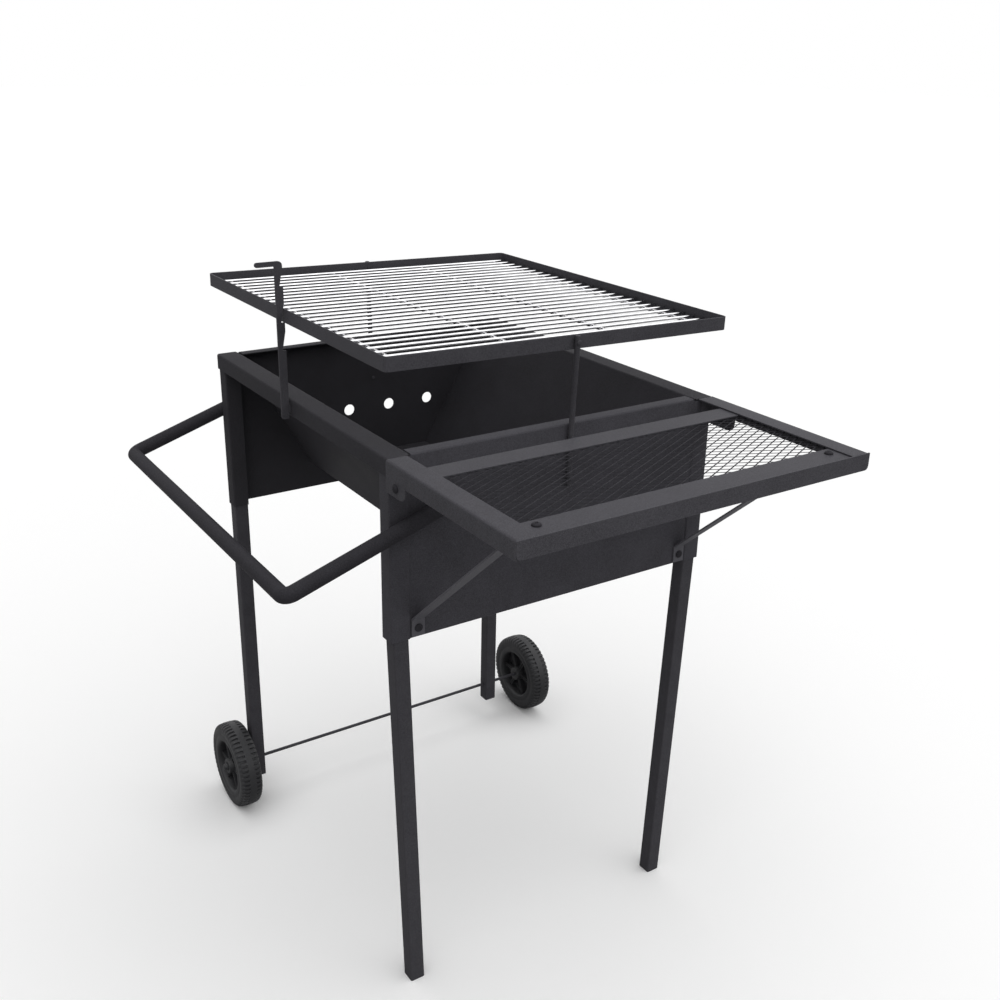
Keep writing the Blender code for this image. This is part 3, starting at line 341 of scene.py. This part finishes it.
# From the dome's middle over its rim and back into the bore: radius, distance from the end
cap_profile = [(0, 0), (0.0030, -0.0002), (0.0047, -0.0009), (0.0058, -0.0022), (0.0063, -0.0036),
               (0.0066, -0.0050), (0.0078, -0.0054), (0.0080, -0.0060), (0.0080, -0.0068),
               (0.0033, -0.0068), (0.0033, -0.0020), (0, -0.0020)]
for side, way in (("left", -1), ("right", 1)):
    low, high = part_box("axle_cap_" + side)
    end = Vector((low.x if way < 0 else high.x, (low.y + high.y) / 2, (low.z + high.z) / 2))
    place = Matrix.Translation(end) @ Matrix.Rotation(math.radians(90 * way), 4, "Y")
    mesh = bmesh.new()
    lathe(mesh, cap_profile, 40, place)
    new_piece("push_on_cap_" + side, mesh, "stand", wheel_plastic,
              ["axle_cap_" + side], 50)

# Handle
# One 22 mm steel tube with 1.5 mm walls, bent to a U on a mandrel and welded along the two panels,
# so that it slopes down from them. It is painted apart from the rest, in a thicker coat.

slope = math.tan(math.radians(18.3))
handle_radius, handle_wall, handle_sides = 0.011, 0.0015, 32
standoff = handle_radius + panel_gap
reach, inside, bend, drop = 0.1520, 0.105, 0.0125, 0.1024
bend_steps = 16
plan = [Vector((inside, -standoff)), Vector((-reach + bend, -standoff))]
for start, centre_y in ((270, bend - standoff), (180, box_depth + standoff - bend)):
    for step in range(1, bend_steps + 1):
        angle = math.radians(start - 90 * step / bend_steps)
        plan.append(Vector((-reach + bend + bend * math.cos(angle),
                            centre_y + bend * math.sin(angle))))
plan.append(Vector((inside, box_depth + standoff)))
mesh = bmesh.new()
outer, inner = [], []
upward = Vector((-slope, 0, 1)).normalized()
for i, point in enumerate(plan):
    before = plan[max(i - 1, 0)]
    after = plan[min(i + 1, len(plan) - 1)]
    along = Vector((after.x - before.x, after.y - before.y, (after.x - before.x) * slope)).normalized()
    across = upward.cross(along).normalized()
    middle = corner + Vector((point.x, point.y, point.x * slope - drop))
    for radius, rings in ((handle_radius, outer), (handle_radius - handle_wall, inner)):
        ring = []
        for k in range(handle_sides):
            angle = 2 * math.pi * k / handle_sides
            around = across * math.cos(angle) + upward * math.sin(angle)
            ring.append(mesh.verts.new(middle + radius * around))
        rings.append(ring)
for rings in (outer, inner):
    for near, far in zip(rings, rings[1:]):
        for k in range(handle_sides):
            j = (k + 1) % handle_sides
            mesh.faces.new((near[k], near[j], far[j], far[k]))
for end in (0, -1):
    for k in range(handle_sides):
        j = (k + 1) % handle_sides
        mesh.faces.new((outer[end][k], outer[end][j], inner[end][j], inner[end][k]))
# This coat is painted blacker and duller, as painted shade for the handle lying under the table's arm,
# and it hides the metal's own lustre
painted_shade_thick_paint = stoved_paint("stoved_silicone_paint_thick_coat_painted_shade", "#272629", "#2e2d31", "#4a494e",
                           0.03, 0.56)
new_piece("bent_tube_handle", mesh, "stand", painted_shade_thick_paint, ["handle"], 50)

# Side table
# Folded arms, rails and lugs of 2 mm sheet, bolted to the firebox, with two stays of flat bar below.
# The deck is 25 x 13 mm expanded sheet, slit and stretched so that every strand is twisted out of flat.

# The table's tops catch the most light, so this coat is painted paler, as painted light, and has more
# sheen
painted_light_table_paint = stoved_paint("stoved_silicone_paint_on_the_table_painted_light", "#3a393d", "#434246", "#6b6a70",
                           0.05, 0.46)
for node in ("table_arm_left", "table_arm_right", "table_lug_left", "table_lug_right",
             "table_rail_inner", "table_rail_front"):
    finish_node(node, painted_light_table_paint)
# On the stays the coat is painted paler, as painted light for the light that reaches them under the
# deck, so that they stand out grey against the panel
painted_light_stay_paint = stoved_paint("stoved_silicone_paint_on_flat_bar_painted_light", "#504f54", "#5a595e", "#7a797f",
                          0.05, 0.46)
for stay in ("stay_left", "stay_right"):
    finish_node(stay, painted_light_stay_paint)

low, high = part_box("table_mesh")
long_way, short_way = 0.0254, 0.0127
columns = round((high.x - low.x) / long_way)
rows = round((high.y - low.y) / short_way)
step_x, step_y = (high.x - low.x) / columns / 2, (high.y - low.y) / rows / 2
strand, sheet = 0.0018, 0.0008
level, twist = 0.92, -0.40  # how far a strand's width lies flat, and how far it dips
top = high.z - 0.0014
mesh = bmesh.new()
for i in range(2 * columns):
    for j in range(2 * rows):
        # One strand crosses each quarter of a diamond, twisted so that one long edge stands proud
        rising = (i + j) % 2 == 0
        start = Vector((low.x + i * step_x, low.y + (j + (0 if rising else 1)) * step_y, top))
        end = Vector((low.x + (i + 1) * step_x, low.y + (j + (1 if rising else 0)) * step_y, top))
        along = (end - start).normalized()
        flat_across = Vector((-along.y, along.x, 0))
        across = (flat_across * level + Vector((0, 0, twist))).normalized() * strand / 2
        bar(mesh, [start - across, end - across, end + across, start + across],
            along.cross(across).normalized() * sheet / 2)
new_piece("expanded_mesh_deck", mesh, "stand", painted_shade_thick_paint, ["table_mesh"], 30)


def nut_and_head(node, axis, way, head_radius, head_height, tail, cross, finish):
    """A pan-head screw, crossed on its head, with a hexagon nut; or a rivet with its set head.
    The head points along the axis, forwards or backwards, and both fill the CAD node's length."""
    low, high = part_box(node)
    centre = (low + high) / 2
    length = high[axis] - low[axis]
    centre[axis] = high[axis] if way > 0 else low[axis]
    turn = {0: Matrix.Rotation(math.radians(90 * way), 4, "Y"),
            1: Matrix.Rotation(math.radians(-90 * way), 4, "X"),
            2: Matrix.Rotation(0 if way > 0 else math.pi, 4, "X")}[axis]
    place = Matrix.Translation(centre) @ turn
    tail_radius, tail_height, tail_sides = tail
    mesh = bmesh.new()
    dome = []
    for k in range(9):
        angle = math.radians(90 * k / 8)
        dome.append((head_radius * math.sin(angle) ** 0.8,
                     -head_height * 0.75 * (1 - math.cos(angle))))
    shank = head_radius * 0.5
    seat = tail_height - length  # where the nut or the set head begins
    lathe(mesh, dome + [(head_radius, -head_height * 0.95), (head_radius * 0.97, -head_height),
                        (shank, -head_height), (shank, seat), (0, seat)], 32, place)
    chamfer = tail_radius * 0.12
    lathe(mesh, [(shank, seat), (tail_radius - chamfer, seat), (tail_radius, seat - chamfer * 0.6),
                 (tail_radius, chamfer * 0.6 - length), (tail_radius - chamfer, -length),
                 (shank * 0.8, -length), (0, chamfer - length)], tail_sides, place)
    if cross:
        reach, width, proud = 0.0022, 0.0004, 0.0001
        for turned in (0, 90):
            spin = place @ Matrix.Rotation(math.radians(turned + 20), 4, "Z")
            points = [spin @ Vector(p) for p in ((-reach, -width, proud), (reach, -width, proud),
                                                 (reach, width, proud), (-reach, width, proud))]
            bar(mesh, points, spin.to_3x3() @ Vector((0, 0, width)))
    name = "screw_" + node if cross else "rivet_" + node
    return new_piece(name, mesh, "stand", finish, [node], 35)


screw_head, screw_head_height = 0.0060, 0.0035
nut = (0.0055, 0.0040, 6)
for side, way in (("left", -1), ("right", 1)):
    for node, axis, facing in (("stay_top_bolt_", 2, 1), ("stay_foot_bolt_", 1, -1),
                               ("table_bolt_", 0, way)):
        nut_and_head(node + side, axis, facing, screw_head, screw_head_height, nut, True, painted_shade_thick_paint)

# Posts
# Two 8 mm round bars in front of and behind the firebox, each held to its panel by two rivets. They
# carry the cooking grid on a pivot rivet near their top.

rivet_head, rivet_head_height = 0.0038, 0.0016
set_head = (0.0030, 0.0011, 24)
for side, way in (("front", -1), ("back", 1)):
    finish_node("post_" + side, tube_paint, edge=0.0003)
    for rivet in (f"post_rivet_{side}_upper", f"post_rivet_{side}_lower", "pivot_rivet_" + side):
        nut_and_head(rivet, 1, way, rivet_head, rivet_head_height, set_head, False, tube_paint)

# Cooking grid
# A frame of 20 mm angle bent round at its corners, and a loose grate of bright drawn wire: 26 rods
# resistance welded across four thicker ones. A toothed flat bar hooked in the left skirt props it up.

finish_node("grid_frame", painted_light_table_paint)
finish_node("prop", tube_paint)


def bright_wire(name, shade, dull, stain):
    """Nickel-plated drawn steel wire: bright and a little streaky along the wire, greyer in patches,
    with brown heat stain at the welds."""
    metal = bpy.data.materials.new(name)
    metal.use_nodes = True
    tree = metal.node_tree
    tree.nodes.clear()
    place = add(tree, "ShaderNodeTexCoord").outputs["Object"]
    # The die's marks are hair-fine and long; they are drawn 1 mm apart and 60 mm long
    stretched = add(tree, "ShaderNodeMapping", {"Vector": place, "Scale": (16.0, 900.0, 900.0)})
    streak = add(tree, "ShaderNodeTexNoise", {"Vector": stretched.outputs[0], "Scale": 1.0,
                                              "Detail": 2.0})
    patch_size = 0.03
    patch = add(tree, "ShaderNodeTexNoise", {"Vector": place, "Scale": 1 / patch_size, "Detail": 3.0})
    uneven = add(tree, "ShaderNodeMath", {0: streak.outputs["Fac"], 1: patch.outputs["Fac"]},
                 operation="MULTIPLY")
    share = add(tree, "ShaderNodeMapRange", {"Value": uneven.outputs[0],
                                             "From Min": 0.12, "From Max": 0.4})
    colour = add(tree, "ShaderNodeMix", {0: share.outputs[0], 6: linear(shade), 7: linear(dull)},
                 data_type="RGBA")
    welds = add(tree, "ShaderNodeAttribute", attribute_name="weld")
    stained = add(tree, "ShaderNodeMix", {0: welds.outputs["Fac"], 6: colour.outputs[2],
                                          7: linear(stain)}, data_type="RGBA")
    roughness = add(tree, "ShaderNodeMapRange", {"Value": uneven.outputs[0],
                                                 "From Min": 0.12, "From Max": 0.4,
                                                 "To Min": 0.07, "To Max": 0.16})
    bump = add(tree, "ShaderNodeBump", {"Strength": 0.1, "Distance": 0.00003,
                                        "Height": streak.outputs["Fac"]})
    shader = add(tree, "ShaderNodeBsdfPrincipled", {"Base Color": stained.outputs[2], "Metallic": 1.0,
                                                    "Roughness": roughness.outputs[0],
                                                    "Normal": bump.outputs[0]})
    add(tree, "ShaderNodeOutputMaterial", {"Surface": shader.outputs[0]})
    return metal


# Nearly white, and mirror-like enough to take on what is over and under it
wire = bright_wire("nickel_plated_wire", "#dededf", "#b9b9bc", "#857c75")
# Places and heights are from the pivots' middle, with the grid level; as photographed it tilts a little
pivot = Vector(next(joint for joint in frame["joints"] if joint["name"] == "grid_tilt")["pos_m"])
tilted = Matrix.Translation(pivot) @ Matrix.Rotation(math.radians(1.2), 4, "Y")
frame_width = 0.573
cross_places = [(share - 0.5) * frame_width for share in (0.0467, 0.3668, 0.6696, 0.9412)]
rods, rod_left, rod_right, rod_reach, cross_reach = 26, -0.287, 0.276, 0.2849, 0.2999
rod_radius, cross_radius = 0.0023, 0.0027
cross_height, rod_height = -0.00586, -0.00213
mesh = bmesh.new()
weld = mesh.verts.layers.float.new("weld")


def wire_rod(start, end, radius):
    """A round rod with slightly rounded sawn ends, in lengths of 20 mm."""
    along = end - start
    place = Matrix.Translation(start) @ along.to_track_quat("Z", "Y").to_matrix().to_4x4()
    length = along.length
    part, rounded = 0.02, 0.0005
    stops = [part * k for k in range(1, int(length / part))]
    profile = [(0, 0), (radius * 0.8, 0), (radius, rounded)] + [(radius, stop) for stop in stops]
    profile += [(radius, length - rounded), (radius * 0.8, length), (0, length)]
    lathe(mesh, profile, 14, tilted @ place)


rod_places = [-rod_reach + 2 * rod_reach * k / (rods - 1) for k in range(rods)]
for y in rod_places:
    wire_rod(Vector((rod_left, y, rod_height)), Vector((rod_right, y, rod_height)), rod_radius)
for x in cross_places:
    wire_rod(Vector((x, -cross_reach, cross_height)), Vector((x, cross_reach, cross_height)),
             cross_radius)
# Each crossing has a small squashed weld, no two quite alike
weld_size = Vector((0.0034, 0.0030, 0.0016))
random.seed(4)
for x in cross_places:
    for y in rod_places:
        size = weld_size * random.uniform(0.85, 1.1)
        spot = Matrix.Translation((x, y, (cross_height + rod_height) / 2 + 0.0003))
        made = bmesh.ops.create_icosphere(mesh, subdivisions=1, radius=1,
                                          matrix=tilted @ spot @ Matrix.Diagonal((*size, 1)))
        for vertex in made["verts"]:
            vertex[weld] = random.uniform(0.6, 0.9)
new_piece("welded_wire_grate", mesh, "grate", wire, ["grate"], 50)

# Studio
# A plain pale floor, a white surround that mirrors and lenses see as white, and one broad soft lamp
# overhead. The camera stands where the photograph was taken.

floor_data = bpy.data.meshes.new("floor")
floor_data.from_pydata([(-30, -30, 0), (30, -30, 0), (30, 30, 0), (-30, 30, 0)], [], [(0, 1, 2, 3)])
floor = bpy.data.objects.new("floor", floor_data)
bpy.context.scene.collection.objects.link(floor)
paper = bpy.data.materials.new("white_paper_floor")
paper.use_nodes = True
tree = paper.node_tree
tree.nodes.clear()
rays = add(tree, "ShaderNodeLightPath")
# The camera sees the paper white. The light that it throws back on the grill is dimmer, so that upright
# faces stay darker than the tops
seen = add(tree, "ShaderNodeMath", {0: rays.outputs["Is Camera Ray"],
                                    1: rays.outputs["Is Transmission Ray"]}, operation="MAXIMUM")
fibre = add(tree, "ShaderNodeTexNoise", {"Scale": 3.0, "Detail": 2.0})
pale = add(tree, "ShaderNodeMix", {0: fibre.outputs["Fac"], 6: linear("#fdfdfd"), 7: linear("#ffffff")},
           data_type="RGBA")
lit = add(tree, "ShaderNodeBsdfDiffuse", {"Color": pale.outputs[2]})
dim = add(tree, "ShaderNodeBsdfDiffuse", {"Color": linear("#b4b4b4")})
surface = add(tree, "ShaderNodeMixShader", {0: seen.outputs[0], 1: dim.outputs[0], 2: lit.outputs[0]})
add(tree, "ShaderNodeOutputMaterial", {"Surface": surface.outputs[0]})
floor_data.materials.append(paper)

surround = bpy.data.worlds.new("white_surround")
surround.use_nodes = True
tree = surround.node_tree
tree.nodes.clear()
rays = add(tree, "ShaderNodeLightPath")
mirrored = add(tree, "ShaderNodeMath", {0: rays.outputs["Is Camera Ray"],
                                        1: rays.outputs["Is Glossy Ray"]}, operation="MAXIMUM")
seen = add(tree, "ShaderNodeMath", {0: mirrored.outputs[0], 1: rays.outputs["Is Transmission Ray"]},
           operation="MAXIMUM")
strength = add(tree, "ShaderNodeMapRange", {"Value": seen.outputs[0], "To Min": 0.26, "To Max": 1.0})
sky = add(tree, "ShaderNodeBackground", {"Color": (1, 1, 1, 1), "Strength": strength.outputs[0]})
add(tree, "ShaderNodeOutputWorld", {"Surface": sky.outputs[0]})
bpy.context.scene.world = surround

lamp = bpy.data.lights.new("overhead_softbox", "SUN")
lamp.energy = 2.5
lamp.angle = math.radians(100)
light = bpy.data.objects.new("overhead_softbox", lamp)
light.rotation_euler = (math.radians(17), 0, math.radians(12))
bpy.context.scene.collection.objects.link(light)

lens = bpy.data.cameras.new("camera")
lens.sensor_width = 36
lens.lens = 41.587
lens.clip_end = 200
camera = bpy.data.objects.new("camera", lens)
right = Vector((0.8356271, -0.5489638, 0.0191350))
down = Vector((-0.1896576, -0.3210376, -0.9278819))
forward = Vector((0.5155166, 0.7717342, -0.3723828))
camera.matrix_world = Matrix.Translation((-0.89611, -1.41369, 1.37777)) @ Matrix(
    (right, -down, -forward)).transposed().to_4x4()
bpy.context.scene.collection.objects.link(camera)
bpy.context.scene.camera = camera
bpy.context.scene.view_settings.view_transform = "Standard"
